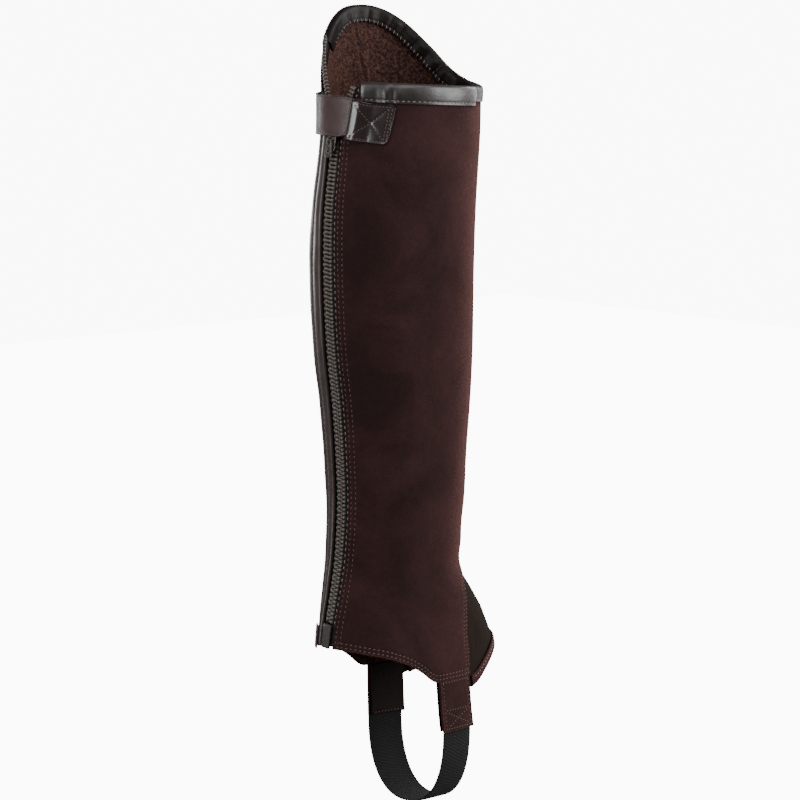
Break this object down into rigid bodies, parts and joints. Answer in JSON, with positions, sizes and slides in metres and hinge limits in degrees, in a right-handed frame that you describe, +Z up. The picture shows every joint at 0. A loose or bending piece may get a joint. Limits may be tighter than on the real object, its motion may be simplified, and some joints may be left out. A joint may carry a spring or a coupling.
{
  "type": "riding half chap",
  "caption": "Suede half chap for the left lower leg: a hollow tube with a back zip, a high outer top, a strap over the zip and an elastic under the foot.",
  "frame": {"origin": "on the leg's axis, at the height where the calf is widest, 419 mm above the elastic's lowest point", "axes": "+X towards the toe, +Y towards the outer side of the left leg, +Z up along the leg"},
  "size_m": [0.1623, 0.12, 0.6037],
  "materials": {
    "suede": "napped, matte, near-black brown",
    "leather": "smooth, satin to glossy, black-brown",
    "felt": "speckled reddish-brown felt",
    "webbing": "black, woven",
    "zip_plastic": "moulded, dark grey",
    "dark_metal": "dark bronze coat, satin"
  },
  "bodies": {
    "chap": {"inner_panel": "suede", "outer_panel": "suede", "back_strip": "leather", "outer_lining": "felt", "inner_band": "leather", "outer_band": "leather", "instep_gusset": "leather", "gusset_binding": "suede", "inner_tab": "suede", "outer_tab": "suede", "inner_tab_backing": "suede", "outer_tab_backing": "suede", "zip_tape_inner": "webbing", "zip_tape_outer": "webbing", "zip_teeth_inner": "zip_plastic", "zip_teeth_outer": "zip_plastic", "elastic_strap": "webbing", "closure_strap": "leather", "strap_patch": "leather", "zip_box": "zip_plastic", "zip_end_tab": "leather", "zip_slider": "dark_metal", "strap_snap": "dark_metal"},
    "pull": {"zip_pull": "dark_metal"}
  },
  "joints": [
    {"name": "pull_swing", "type": "hinge", "parent": "chap", "child": "pull", "pos_m": [-0.06044, 0.00685, 0.08789], "axis": [0.1126, 0.9936, -0.0083], "range_deg": [0, 110]}
  ]
}
